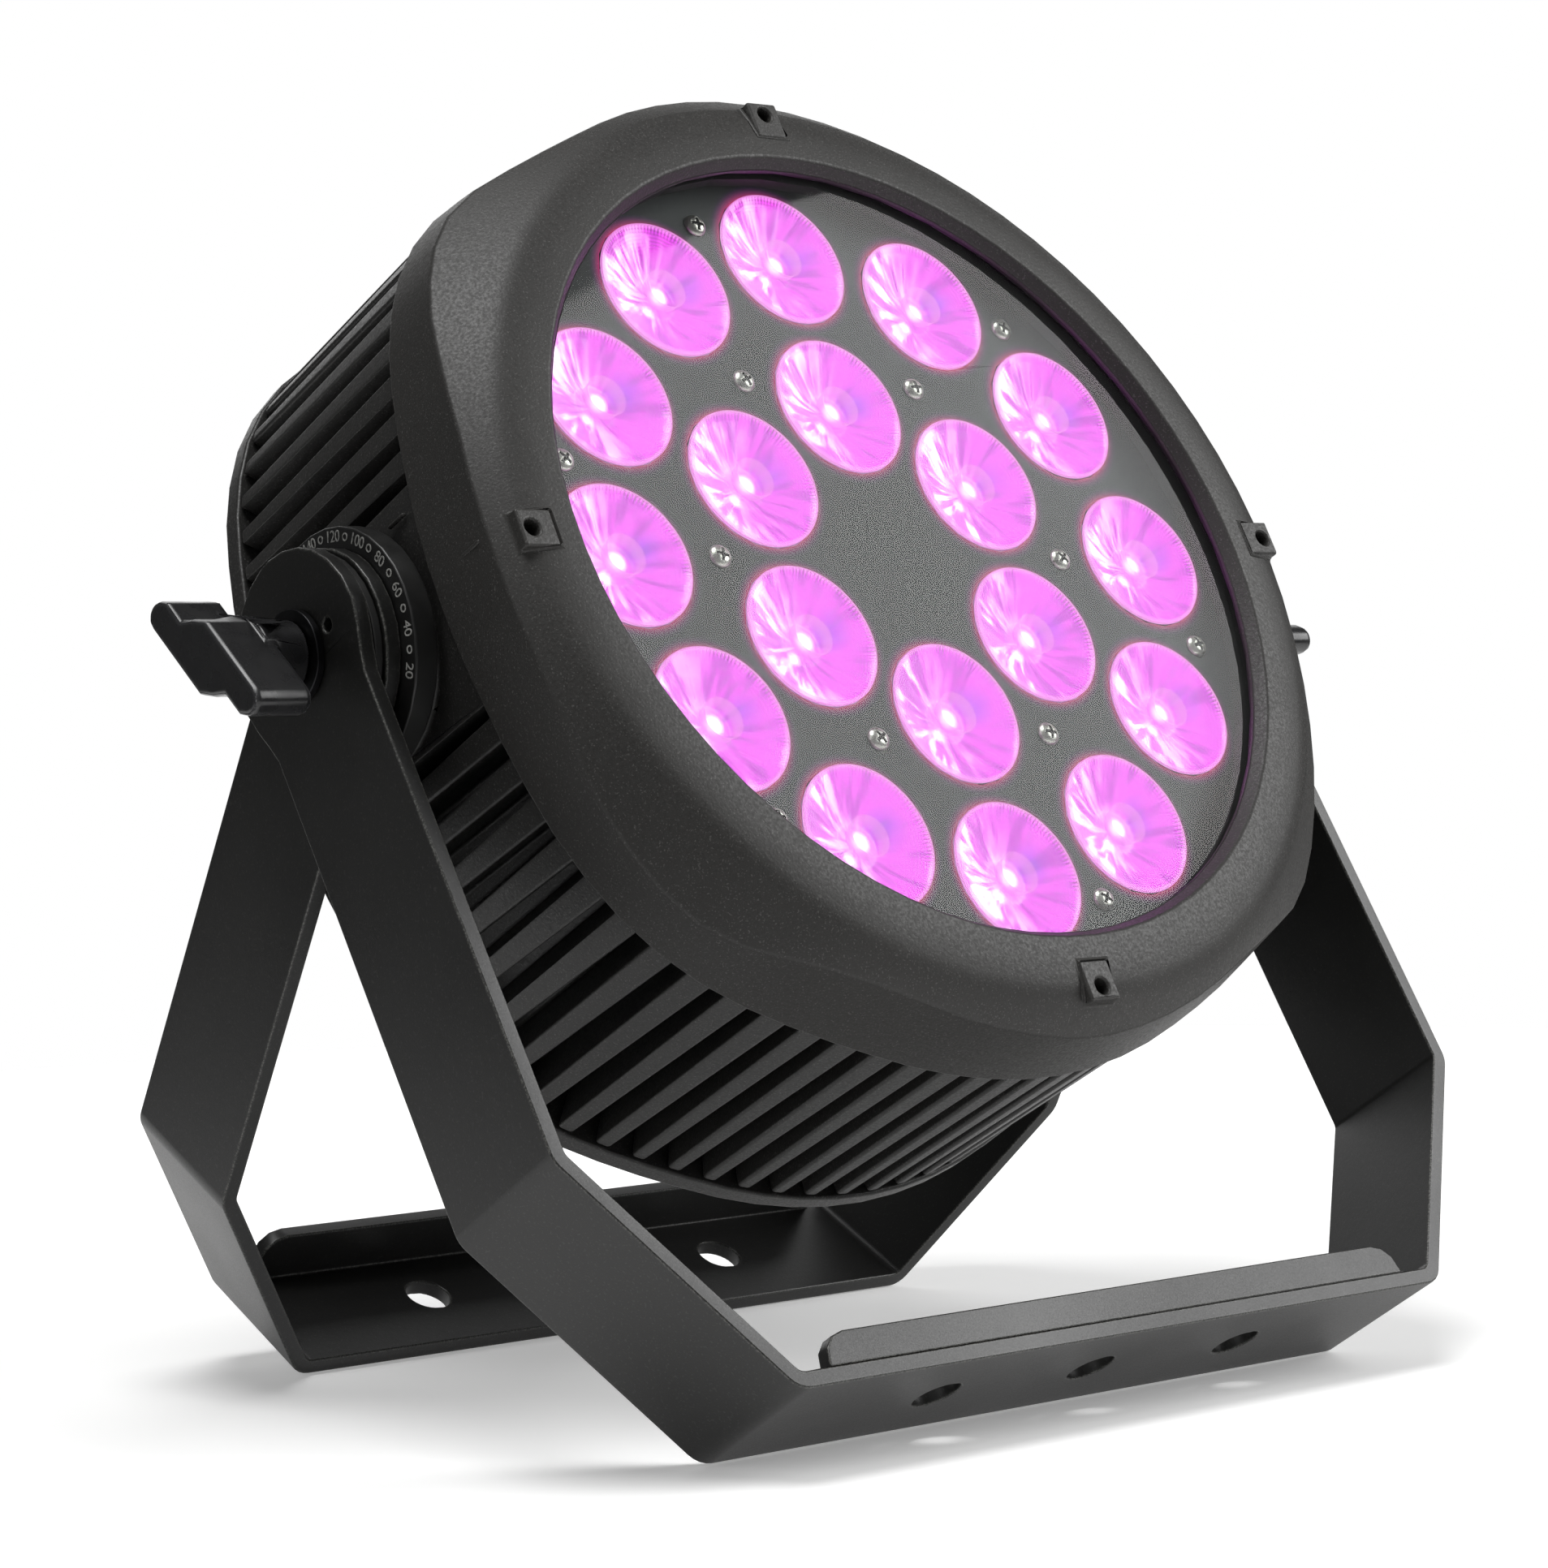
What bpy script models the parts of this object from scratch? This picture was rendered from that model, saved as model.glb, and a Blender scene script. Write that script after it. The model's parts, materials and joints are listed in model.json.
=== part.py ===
"""LED par can light on a double U bracket, modelled at real size in metres with +Z up.

The origin is on the floor under the middle of the lamp.  The head, the front bracket, the rear bracket and
the clamp knobs all turn about one pivot axis, parallel to X.  Each of them is modelled in the frame of an
empty on that axis:

    head           +X across, +Y up the lamp, +Z along the beam
    front bracket  +X across, +Z from its bar up to the pivot, -Y its front edge
    rear bracket   +X across, +Z from its bar up to the pivot, +Y its rear edge
"""

from math import acos, asin, atan2, cos, degrees, pi, radians, sin, sqrt

import bmesh
import bpy
from mathutils import Matrix, Vector
from numpy import interp

MM = 0.001
GAP = 0.3  # clearance left between pieces that touch, mm

# ---- driving dimensions, mm and degrees -------------------------------------------------------------
PIVOT_HEIGHT = 178.8
PIVOT_Y = 8.73  # puts the origin under the middle of the lamp
BEAM_ELEVATION = 28.3
FRONT_LEAN = 32.1
REAR_LEAN = 27.2

STRIP_WIDTH = 40.0
STRIP_THICKNESS = 4.0
STRIP_BEND = 5.0  # bend radius at the middle of the strip
HEAD_RADIUS = 25.0  # rounded top of each arm
BAR_HOLE_RADIUS = 6.0
BAR_HOLE_PITCH = 50.0

FRONT_HALF_WIDTH = 148.0  # pivot centre plane to the arm's outer face
FRONT_ARM = 139.4  # pivot to the arm's bend
FRONT_BAR_HALF = 106.3
FRONT_FLANGE_HEIGHT = 12.0
REAR_HALF_WIDTH = 141.2
REAR_ARM = 136.3
REAR_BAR_HALF = 102.9
REAR_FLANGE_HEIGHT = 16.5
FLANGE_HALF_LENGTH = 95.0

# Outline of the head: distance from the beam axis, by the angle from the middle of the nearest side.
# Every list ends at the 45 degree corner.
OUTLINE_ANGLES = (0, 12, 17, 23, 28, 34, 39, 45)
FLANK_REACH = (129.5, 130.3, 131.5, 133.4, 135.4, 137.2, 138.2, 138.0)  # left and right sides
TOP_REACH = (132.0, 131.9, 131.9, 132.1, 132.9, 134.5, 136.4, 138.0)  # top and bottom sides
FLANK_DRAFT = (1.0, 1.0, 1.0, 1.0, 1.0, 1.0, 1.0, 1.0)  # how far the bezel's front crease is inset
TOP_DRAFT = (1.3, 2.2, 2.6, 3.3, 4.0, 4.1, 3.4, 1.0)
BEZEL_OPENING = 106.0
BEZEL_LIP = 57.0  # front of the opening's edge
BEZEL_FRONT = 60.2
BEZEL_CREST = 108.3  # radius of the frontmost line of the bezel
BEZEL_SHOULDER = 124.0  # radius where the front face turns down to the side
BEZEL_REAR = 31.0
BEZEL_BORE = 112.5
COVER_FRONT = -41.5
COVER_REAR = -47.5
PANEL_REAR = -58.0
PANEL_WALL = 4.0

RIB_COUNT = 80
RIB_INSET = 1.6
RIB_DEPTH = 15.0
BOSS_HALF_HEIGHT = 27.0
BOSS_FACE = 130.2  # flat side face that the scale disc bears on
BOSS_RADIUS = 26.0
CAVITY_RADIUS = 104.0

PAD_HOLE_RING = 121.2
PAD_WIDTH = 9.6
PAD_INNER = 114.5
PAD_OUTER = 124.6
PAD_FRONT = 60.0
PAD_HOLE_RADIUS = 2.1

LENS_RADIUS = 18.8
LENS_FRONT = 48.5
INNER_LENSES = 6
INNER_RING = 43.0
OUTER_LENSES = 12
OUTER_RING = 86.0
PLATE_FRONT = 47.3
PLATE_RADIUS = 111.0
INNER_SCREW_RING = 56.8
OUTER_SCREW_RING = 97.5

DISC_RADIUS = 30.0
STUD_RADIUS = 4.0
STUD_CLEARANCE = 0.45
KNOB_END = 174.3
KNOB_WING_BACK = 159.0
KNOB_TURN = {-1: 38.0, 1: -15.0}  # how far each grip is turned up from the Y direction at rest

FRONT_BAR = (PIVOT_HEIGHT - STRIP_WIDTH / 2 * sin(radians(FRONT_LEAN))) / cos(radians(FRONT_LEAN))
REAR_BAR = (PIVOT_HEIGHT - STRIP_WIDTH / 2 * sin(radians(REAR_LEAN))) / cos(radians(REAR_LEAN))


# ---- scene, collections and materials ---------------------------------------------------------------
def clear_scene():
    for obj in list(bpy.data.objects):
        bpy.data.objects.remove(obj, do_unlink=True)


def new_collection(name):
    collection = bpy.data.collections.new(name)
    bpy.context.scene.collection.children.link(collection)
    return collection


def material(name, color, roughness, metallic=0.0):
    mat = bpy.data.materials.new(name)
    mat.use_nodes = True
    shader = mat.node_tree.nodes["Principled BSDF"]
    shader.inputs["Base Color"].default_value = (*color, 1.0)
    shader.inputs["Roughness"].default_value = roughness
    shader.inputs["Metallic"].default_value = metallic
    return mat


def empty(name, location, rotation_x=0.0, parent=None):
    obj = bpy.data.objects.new(name, None)
    obj.location = Vector(location) * MM
    obj.rotation_euler = (radians(rotation_x), 0, 0)
    obj.parent = parent
    parts.objects.link(obj)
    return obj


# ---- mesh helpers, sizes in mm ----------------------------------------------------------------------
def add_object(name, bm, frame=None, mat=None, cutter=False):
    bmesh.ops.scale(bm, vec=(MM, MM, MM), verts=bm.verts)
    bmesh.ops.recalc_face_normals(bm, faces=bm.faces)
    mesh = bpy.data.meshes.new(name)
    bm.to_mesh(mesh)
    bm.free()
    obj = bpy.data.objects.new(name, mesh)
    obj.parent = frame
    if mat:
        mesh.materials.append(mat)
    if cutter:
        obj.hide_render = True
        obj.display_type = "WIRE"
        cutters.objects.link(obj)
    else:
        mesh.shade_smooth()
        mesh.set_sharp_from_angle(angle=radians(35))
        parts.objects.link(obj)
    return obj


def prism(outline, low, high):
    """Solid between two heights along Z over a flat outline."""
    bm = bmesh.new()
    face = bm.faces.new([bm.verts.new((x, y, low)) for x, y in outline])
    raised = bmesh.ops.extrude_face_region(bm, geom=[face])["geom"]
    moved = [v for v in raised if isinstance(v, bmesh.types.BMVert)]
    bmesh.ops.translate(bm, vec=(0, 0, high - low), verts=moved)
    return bm


def cylinder(radius, low, high, sides=32, centre=(0, 0)):
    bm = bmesh.new()
    place = Matrix.Translation((centre[0], centre[1], (low + high) / 2))
    bmesh.ops.create_cone(
        bm, cap_ends=True, segments=sides, radius1=radius, radius2=radius, depth=high - low, matrix=place
    )
    return bm


def box(low, high):
    bm = bmesh.new()
    low, high = Vector(low), Vector(high)
    place = Matrix.Translation((low + high) / 2) @ Matrix.Diagonal((high - low).to_4d())
    place[3][3] = 1.0
    bmesh.ops.create_cube(bm, size=1.0, matrix=place)
    return bm


def along_x(bm, start=0.0, side=1):
    """Turns a shape built along +Z so that it runs outward along X, from start, on one side."""
    turn = Matrix.Rotation(side * pi / 2, 4, "Y")
    bmesh.ops.transform(bm, matrix=Matrix.Translation((side * start, 0, 0)) @ turn, verts=bm.verts)
    return bm


def turned(name, profile, frame, mat, steps=48, closed=False):
    """Screw of a profile of (radius, height) points, listed down the outer side from the top."""
    bm = bmesh.new()
    verts = [bm.verts.new((r * MM, 0, z * MM)) for r, z in profile]
    for start, end in zip(verts, verts[1:]):
        bm.edges.new((start, end))
    if closed:
        bm.edges.new((verts[-1], verts[0]))
    mesh = bpy.data.meshes.new(name)
    bm.to_mesh(mesh)
    bm.free()
    mesh.materials.append(mat)
    obj = bpy.data.objects.new(name, mesh)
    obj.parent = frame
    screw = obj.modifiers.new("turn", "SCREW")
    screw.steps = steps
    screw.render_steps = steps
    screw.use_merge_vertices = True
    screw.merge_threshold = 0.00001
    screw.use_smooth_shade = True
    parts.objects.link(obj)
    return obj


def bevel(obj, width, segments=1, angle=40):
    mod = obj.modifiers.new("edges", "BEVEL")
    mod.width = width * MM
    mod.segments = segments
    mod.limit_method = "ANGLE"
    mod.angle_limit = radians(angle)


def boolean(obj, other, operation):
    mod = obj.modifiers.new(other.name, "BOOLEAN")
    mod.operation = operation
    mod.solver = "EXACT"
    mod.object = other


def cut(obj, bm, name, frame):
    boolean(obj, add_object(name, bm, frame, cutter=True), "DIFFERENCE")


def join(obj, bm, name, frame):
    boolean(obj, add_object(name, bm, frame, cutter=True), "UNION")


def ring_point(radius, angle):
    """Point on a ring around the beam, with the angle in degrees from the top of the lamp."""
    return radius * sin(radians(angle)), radius * cos(radians(angle))


# ---- brackets -----------------------------------------------------------------------------------------
def arm_stations():
    """Heights and half widths down the top of an arm: the round head, then the blend to the strip."""
    stations = []
    for angle in (6, 18, 32, 46, 60, 75, 90):
        stations.append((HEAD_RADIUS * cos(radians(angle)), HEAD_RADIUS * sin(radians(angle))))
    half = STRIP_WIDTH / 2
    for depth in (6, 11, 16, 22, 30):
        round_edge = sqrt(HEAD_RADIUS**2 - min(depth, 15) ** 2)
        ease = depth / 30
        stations.append((-depth, round_edge * (1 - ease) + half * ease))
    return stations


def bend_points(before, corner, after, radius, count=4):
    """Points of the arc that rounds a corner of the strip's line."""
    into = (Vector(corner) - Vector(before)).normalized()
    out = (Vector(after) - Vector(corner)).normalized()
    turn = acos(max(-1.0, min(1.0, into.dot(out))))
    reach = radius * sin(turn / 2) / cos(turn / 2)
    start = Vector(corner) - into * reach
    inward = (out - into * into.dot(out)).normalized()
    centre = start + inward * radius
    points = []
    for k in range(count + 1):
        angle = turn * k / count
        points.append(centre - inward * radius * cos(angle) + into * radius * sin(angle))
    return points


def bracket(name, frame, half_width, arm, bar_half, bar, mat):
    """U strip with bent arms: an open ribbon along its middle line, thickened to the sheet."""
    middle = STRIP_THICKNESS / 2
    side_x = half_width - middle
    slope = atan2(bar - arm, half_width - bar_half)
    shift = middle / cos((pi / 2 - slope) / 2) * sin((pi / 2 - slope) / 2)
    lower_shift = middle / cos(slope / 2) * sin(slope / 2)
    shoulder = (side_x, -arm + shift)
    foot = (bar_half - lower_shift, -bar + middle)
    path = [(side_x, z, w) for z, w in arm_stations()]
    half = STRIP_WIDTH / 2
    for point in bend_points((side_x, 0), shoulder, foot, STRIP_BEND):
        path.append((point.x, point.y, half))
    for point in bend_points(shoulder, foot, (0, foot[1]), STRIP_BEND):
        path.append((point.x, point.y, half))
    path += [(-x, z, w) for x, z, w in reversed(path)]
    bm = bmesh.new()
    rows = [[bm.verts.new((x, y, z)) for y in (-w, w)] for x, z, w in path]
    for upper, lower in zip(rows, rows[1:]):
        bm.faces.new((upper[0], lower[0], lower[1], upper[1]))
    obj = add_object(name, bm, frame, mat)
    shell = obj.modifiers.new("sheet", "SOLIDIFY")
    shell.thickness = STRIP_THICKNESS * MM
    shell.offset = 0
    shell.use_even_offset = True
    return obj


def flange_outline(height):
    """Stiffening flange seen along Y: square foot, rounded upper corners."""
    rounding = 7.0
    across, up = FLANGE_HALF_LENGTH - rounding, height - rounding
    points = [(-FLANGE_HALF_LENGTH, 0), (FLANGE_HALF_LENGTH, 0)]
    for sign, first in ((1, 0), (-1, 90)):
        for k in range(4):
            angle = radians(first + 30 * k)
            points.append((sign * across + rounding * cos(angle), up + rounding * sin(angle)))
    return points


def finish_bracket(obj, frame, bar, flange_height, edge):
    """Flange along one edge of the bar, bar holes, and the pivot bore through both arms."""
    embed = STRIP_THICKNESS / 2
    bm = prism(flange_outline(flange_height - embed), -STRIP_THICKNESS / 2, STRIP_THICKNESS / 2)
    bmesh.ops.rotate(bm, cent=(0, 0, 0), matrix=Matrix.Rotation(pi / 2, 3, "X"), verts=bm.verts)
    inset = 0.4
    offset = STRIP_WIDTH / 2 - STRIP_THICKNESS / 2 - inset
    bmesh.ops.translate(bm, vec=(0, edge * offset, -bar + embed), verts=bm.verts)
    join(obj, bm, f"{obj.name}_flange", frame)
    for k in (-1, 0, 1):
        hole = cylinder(BAR_HOLE_RADIUS, -bar - 6, -bar + 10, 28, (k * BAR_HOLE_PITCH, 0))
        cut(obj, hole, f"{obj.name}_hole_{k + 2}", frame)
    reach = FRONT_HALF_WIDTH + 10
    bore = along_x(cylinder(STUD_RADIUS + STUD_CLEARANCE, -reach, reach, 24))
    cut(obj, bore, f"{obj.name}_pivot_bore", frame)


def build_brackets():
    front = bracket(
        "front_bracket", front_frame, FRONT_HALF_WIDTH, FRONT_ARM, FRONT_BAR_HALF, FRONT_BAR, black_coat
    )
    finish_bracket(front, front_frame, FRONT_BAR, FRONT_FLANGE_HEIGHT, -1)
    reach = FRONT_HALF_WIDTH + 10
    lock_y, lock_radius = -13.5, 1.7
    lock = cylinder(lock_radius, -reach, reach, 12, (0, lock_y))
    cut(front, along_x(lock), "front_bracket_lock_hole", front_frame)
    rear = bracket(
        "rear_bracket", rear_frame, REAR_HALF_WIDTH, REAR_ARM, REAR_BAR_HALF, REAR_BAR, black_coat,
    )
    finish_bracket(rear, rear_frame, REAR_BAR, REAR_FLANGE_HEIGHT, 1)


# ---- outline of the head -----------------------------------------------------------------------------
def by_angle(flank, top, angle):
    """Value in one of the outline's lists; the angle is in degrees from the top of the lamp."""
    from_top = abs((angle + 90) % 180 - 90)
    values, turn = (top, from_top) if from_top <= 45 else (flank, 90 - from_top)
    return float(interp(turn, OUTLINE_ANGLES, values))


def outline_reach(angle):
    """Distance from the beam axis to the body's outline."""
    return by_angle(FLANK_REACH, TOP_REACH, angle)


def body_outline(inset=0.0, count=72):
    points = []
    for k in range(count):
        angle = 360 * (k + 0.5) / count
        reach = outline_reach(angle) - inset
        points.append(ring_point(reach, angle))
    return points


# ---- head: bezel, housing and cover --------------------------------------------------------------------
def bezel_face(radius):
    """Height of the front of the bezel: chamfer at the opening, slight dome, then a steep shoulder."""
    if radius < BEZEL_CREST:
        share = (radius - BEZEL_OPENING) / (BEZEL_CREST - BEZEL_OPENING)
        return BEZEL_LIP + (BEZEL_FRONT - BEZEL_LIP) * share
    dome_drop, shoulder_slope = 3.0, 0.87
    span = (min(radius, BEZEL_SHOULDER) - BEZEL_CREST) / (BEZEL_SHOULDER - BEZEL_CREST)
    return BEZEL_FRONT - dome_drop * span**2 - shoulder_slope * max(0.0, radius - BEZEL_SHOULDER)


def bezel_section(angle):
    """Closed section of the bezel in one direction, as (radius, height) points."""
    rear = outline_reach(angle)
    crease = rear - by_angle(FLANK_DRAFT, TOP_DRAFT, angle)
    lip_under = 56.5
    points = [(BEZEL_BORE, BEZEL_REAR), (BEZEL_BORE, lip_under), (BEZEL_OPENING, lip_under)]
    for radius in (BEZEL_OPENING, BEZEL_CREST, 114.0, 119.5, BEZEL_SHOULDER, crease):
        points.append((radius, bezel_face(radius)))
    points.append((rear, BEZEL_REAR))
    return points


def build_bezel():
    count = 72
    bm = bmesh.new()
    rings = []
    for k in range(count):
        angle = 360 * (k + 0.5) / count
        ring = []
        for radius, height in bezel_section(angle):
            x, y = ring_point(radius, angle)
            ring.append(bm.verts.new((x, y, height)))
        rings.append(ring)
    for ring, following in zip(rings, rings[1:] + rings[:1]):
        for k in range(len(ring)):
            after = (k + 1) % len(ring)
            bm.faces.new((ring[k], ring[after], following[after], following[k]))
    bezel = add_object("bezel", bm, head_frame, charcoal_coat)
    half = PAD_WIDTH / 2
    for angle in (0, 90, 180, 270):
        pad = box((-half, PAD_INNER, BEZEL_LIP - 4), (half, PAD_OUTER, PAD_FRONT))
        turn = Matrix.Rotation(radians(-angle), 3, "Z")
        bmesh.ops.rotate(pad, cent=(0, 0, 0), matrix=turn, verts=pad.verts)
        join(bezel, pad, f"bezel_pad_{angle}", head_frame)
        x, y = ring_point(PAD_HOLE_RING, angle)
        hole = cylinder(PAD_HOLE_RADIUS, PAD_FRONT - 9, PAD_FRONT + 2, 14, (x, y))
        cut(bezel, hole, f"bezel_pad_hole_{angle}", head_frame)


def rib_outline(tooth_share):
    """Outline of the ribbed wall; tooth_share is the rib's share of the pitch at its crest."""
    boss_angle = degrees(asin(BOSS_HALF_HEIGHT / FLANK_REACH[0]))
    pitch = 360 / RIB_COUNT
    points = []
    for k in range(RIB_COUNT):
        middle = pitch * (k + 0.5)
        from_side = abs(abs((middle % 180) - 90))
        crest = tooth_share / 2 * pitch
        root = min(0.48, tooth_share / 2 + 0.06) * pitch
        floor_reach = RIB_DEPTH if from_side > boss_angle else 0.0
        for angle, depth in ((-root, floor_reach), (-crest, 0.0), (crest, 0.0), (root, floor_reach)):
            reach = outline_reach(middle + angle) - RIB_INSET - depth
            points.append(ring_point(reach, middle + angle))
    return points


def build_housing():
    front, rear = BEZEL_REAR - GAP, COVER_FRONT
    bm = bmesh.new()
    front_ring = [bm.verts.new((x, y, front)) for x, y in rib_outline(0.62)]
    rear_ring = [bm.verts.new((x, y, rear)) for x, y in rib_outline(0.36)]
    bm.faces.new(front_ring)
    bm.faces.new(list(reversed(rear_ring)))
    count = len(front_ring)
    for k in range(count):
        after = (k + 1) % count
        bm.faces.new((front_ring[k], rear_ring[k], rear_ring[after], front_ring[after]))
    housing = add_object("housing", bm, head_frame, charcoal_coat)
    for side in (-1, 1):
        boss = along_x(cylinder(BOSS_RADIUS, CAVITY_RADIUS + 6, BOSS_FACE, 32), 0, side)
        join(housing, boss, f"housing_boss_{side}", head_frame)
        bore = along_x(cylinder(STUD_RADIUS + STUD_CLEARANCE, CAVITY_RADIUS + 8, BOSS_FACE + 2, 16), 0, side)
        cut(housing, bore, f"housing_bore_{side}", head_frame)
    floor_front, floor_rear = 20.0, 12.0
    cut(housing, cylinder(CAVITY_RADIUS, rear - 2, floor_rear, 64), "housing_cavity", head_frame)
    cut(housing, cylinder(BEZEL_BORE, floor_front, front + 2, 64), "housing_front_recess", head_frame)


BUTTON_RADIUS = 5.0
BUTTON_Y = 8.0
BUTTON_PITCH = 18.0
CONNECTORS = {
    "power_in_socket": (-46.0, -26.0, 12.5, 18.0),
    "power_out_socket": (46.0, -26.0, 12.5, 18.0),
    "data_in_socket": (-17.0, -52.0, 10.5, 15.0),
    "data_out_socket": (17.0, -52.0, 10.5, 15.0),
}
VENT_X, VENT_Y = 62.0, 14.0
WINDOW_HALF_WIDTH, WINDOW_HALF_HEIGHT, WINDOW_Y = 33.0, 13.0, 38.0


def button_x(index):
    return (index - 1.5) * BUTTON_PITCH


def build_cover():
    bm = prism(body_outline(RIB_INSET / 2), COVER_REAR, COVER_FRONT - GAP)
    cover = add_object("rear_cover", bm, head_frame, charcoal_coat)
    panel_radius = 84.0
    join(cover, cylinder(panel_radius, PANEL_REAR, COVER_REAR + 3, 64), "rear_cover_panel", head_frame)
    inside = cylinder(panel_radius - PANEL_WALL, PANEL_REAR + PANEL_WALL, COVER_FRONT + 2, 64)
    cut(cover, inside, "rear_cover_hollow", head_frame)
    for k in range(4):
        hole = cylinder(BUTTON_RADIUS + GAP, PANEL_REAR - 2, PANEL_REAR + 8, 20, (button_x(k), BUTTON_Y))
        cut(cover, hole, f"rear_cover_button_hole_{k + 1}", head_frame)


def build_rear_fittings():
    seat = PANEL_REAR - GAP
    for k in range(4):
        frame = empty(f"button_{k + 1}_frame", (button_x(k), BUTTON_Y, 0), 0, head_frame)
        inner, outer = PANEL_REAR + PANEL_WALL + 0.5, PANEL_REAR - 3.4
        profile = [
            (0, inner), (BUTTON_RADIUS, inner), (BUTTON_RADIUS, outer + 0.8), (BUTTON_RADIUS - 0.8, outer),
            (0, outer),
        ]
        turned(f"menu_button_{k + 1}", profile, frame, black_rubber, 20)
    for name, (x, y, radius, length) in CONNECTORS.items():
        frame = empty(f"{name}_frame", (x, y, 0), 0, head_frame)
        end = seat - length
        profile = [
            (0, seat), (radius + 3, seat), (radius + 3, seat - 3), (radius, seat - 4),
            (radius, end + 1), (radius - 1, end), (0, end),
        ]
        turned(name, profile, frame, socket_black, 18)
    window = box(
        (-WINDOW_HALF_WIDTH, WINDOW_Y - WINDOW_HALF_HEIGHT, seat - 1.6),
        (WINDOW_HALF_WIDTH, WINDOW_Y + WINDOW_HALF_HEIGHT, seat),
    )
    bevel(add_object("display_window", window, head_frame, window_clear), 0.8)
    vent_frame = empty("vent_frame", (VENT_X, VENT_Y, 0), 0, head_frame)
    vent = [(0, seat), (7, seat), (7, seat - 4), (6, seat - 5.5), (0, seat - 5.5)]
    turned("vent_plug", vent, vent_frame, socket_black, 6)
    build_safety_eye(seat)


def build_safety_eye(seat):
    """Steel loop that stands out of the panel, for a safety wire."""
    half_width, height, centre_y, rod = 11.0, 12.0, 68.0, 2.5
    curve = bpy.data.curves.new("safety_eye", "CURVE")
    curve.dimensions = "3D"
    curve.bevel_depth = rod * MM
    curve.bevel_resolution = 2
    curve.use_fill_caps = True
    points = [(half_width, seat)]
    for k in range(9):
        angle = pi * k / 8
        points.append((half_width * cos(angle), seat - height - half_width * 0.5 * sin(angle)))
    points.append((-half_width, seat))
    spline = curve.splines.new("POLY")
    spline.points.add(len(points) - 1)
    for target, (x, z) in zip(spline.points, points):
        target.co = (x * MM, centre_y * MM, z * MM, 1)
    curve.materials.append(zinc_steel)
    obj = bpy.data.objects.new("safety_eye", curve)
    obj.parent = head_frame
    parts.objects.link(obj)


# ---- head: light engine --------------------------------------------------------------------------------
def lens_places():
    for k in range(OUTER_LENSES):
        yield ring_point(OUTER_RING, 360 * k / OUTER_LENSES)
    for k in range(INNER_LENSES):
        yield ring_point(INNER_RING, 360 * k / INNER_LENSES)


def screw_places():
    for k in range(6):
        yield ring_point(INNER_SCREW_RING, 30 + 60 * k)
        yield ring_point(OUTER_SCREW_RING, 45 + 60 * k)


def build_light_engine():
    glass = [(0, 55.2), (110, 55.2), (110, 51.2), (0, 51.2)]
    turned("front_glass", glass, head_frame, clear_glass, 48)
    gasket = [(106.4, 56.2), (112.0, 56.2), (112.0, 55.5), (106.4, 55.5)]
    turned("glass_gasket", gasket, head_frame, black_rubber, 40, closed=True)
    retainer = [(107.8, 50.9), (112.0, 50.9), (112.0, 47.8), (107.8, 47.8)]
    turned("glass_retainer", retainer, head_frame, black_rubber, 40, closed=True)
    plate_thickness = 1.6
    plate_rear = PLATE_FRONT - plate_thickness
    disc = cylinder(PLATE_RADIUS, plate_rear, PLATE_FRONT, 48)
    plate = add_object("lens_plate", disc, head_frame, slate_plate)
    for k, place in enumerate(lens_places()):
        hole = cylinder(LENS_RADIUS + GAP, plate_rear - 2, PLATE_FRONT + 2, 18, place)
        cut(plate, hole, f"lens_hole_{k + 1:02d}", head_frame)
    board_front = 22.0
    for k, place in enumerate(screw_places()):
        post = cylinder(3.2, board_front + GAP, PLATE_FRONT - 0.5, 6, place)
        join(plate, post, f"plate_post_{k + 1:02d}", head_frame)
    dimple, dimple_floor, led_gap = 5.0, 45.6, 4.0
    profile = [
        (0, dimple_floor), (dimple - 0.8, dimple_floor), (dimple, LENS_FRONT - 0.3),
        (LENS_RADIUS, LENS_FRONT), (LENS_RADIUS, plate_rear + 0.3),
        (7.5, board_front + led_gap), (0, board_front + led_gap),
    ]
    for k, (x, y) in enumerate(lens_places()):
        frame = empty(f"lens_{k + 1:02d}_frame", (x, y, 0), 0, head_frame)
        turned(f"lens_{k + 1:02d}", profile, frame, lens_clear, 14)
    board = [(0, board_front), (CAVITY_RADIUS, board_front), (CAVITY_RADIUS, 20.4), (0, 20.4)]
    turned("led_board", board, head_frame, white_board, 48)
    supply = box((-75, 4, -41), (75, 62, -9))
    bevel(add_object("power_supply", supply, head_frame, zinc_steel), 1.5)
    driver = box((-58, -74, 4), (58, -8, 5.6))
    add_object("driver_board", driver, head_frame, green_board)


# ---- pivots and knobs -----------------------------------------------------------------------------------
def washer(name, frame, inner, outer, start, end, side, mat):
    """Flat ring around the pivot axis, between two distances from the lamp's centre plane."""
    bm = cylinder(outer, start, end, 32)
    obj = add_object(name, along_x(bm, 0, side), frame, mat)
    bore = along_x(cylinder(inner, start - 2, end + 2, 16), 0, side)
    cut(obj, bore, f"{name}_bore", frame)
    return obj


def knob_outline():
    """Z-shaped wing grip seen from outside: each wing is tangent to one side of the hub."""
    wing = [(-4.0, -7.4), (19.5, -7.2)]
    for angle in (-60, -20, 20, 60):
        wing.append((20.2 + 3.1 * cos(radians(angle)), -3.6 + 3.4 * sin(radians(angle)) * 1.05))
    wing += [(19.0, 1.3), (12.0, 1.1), (8.6, 4.4)]
    return wing + [(-x, -y) for x, y in wing]


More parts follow.
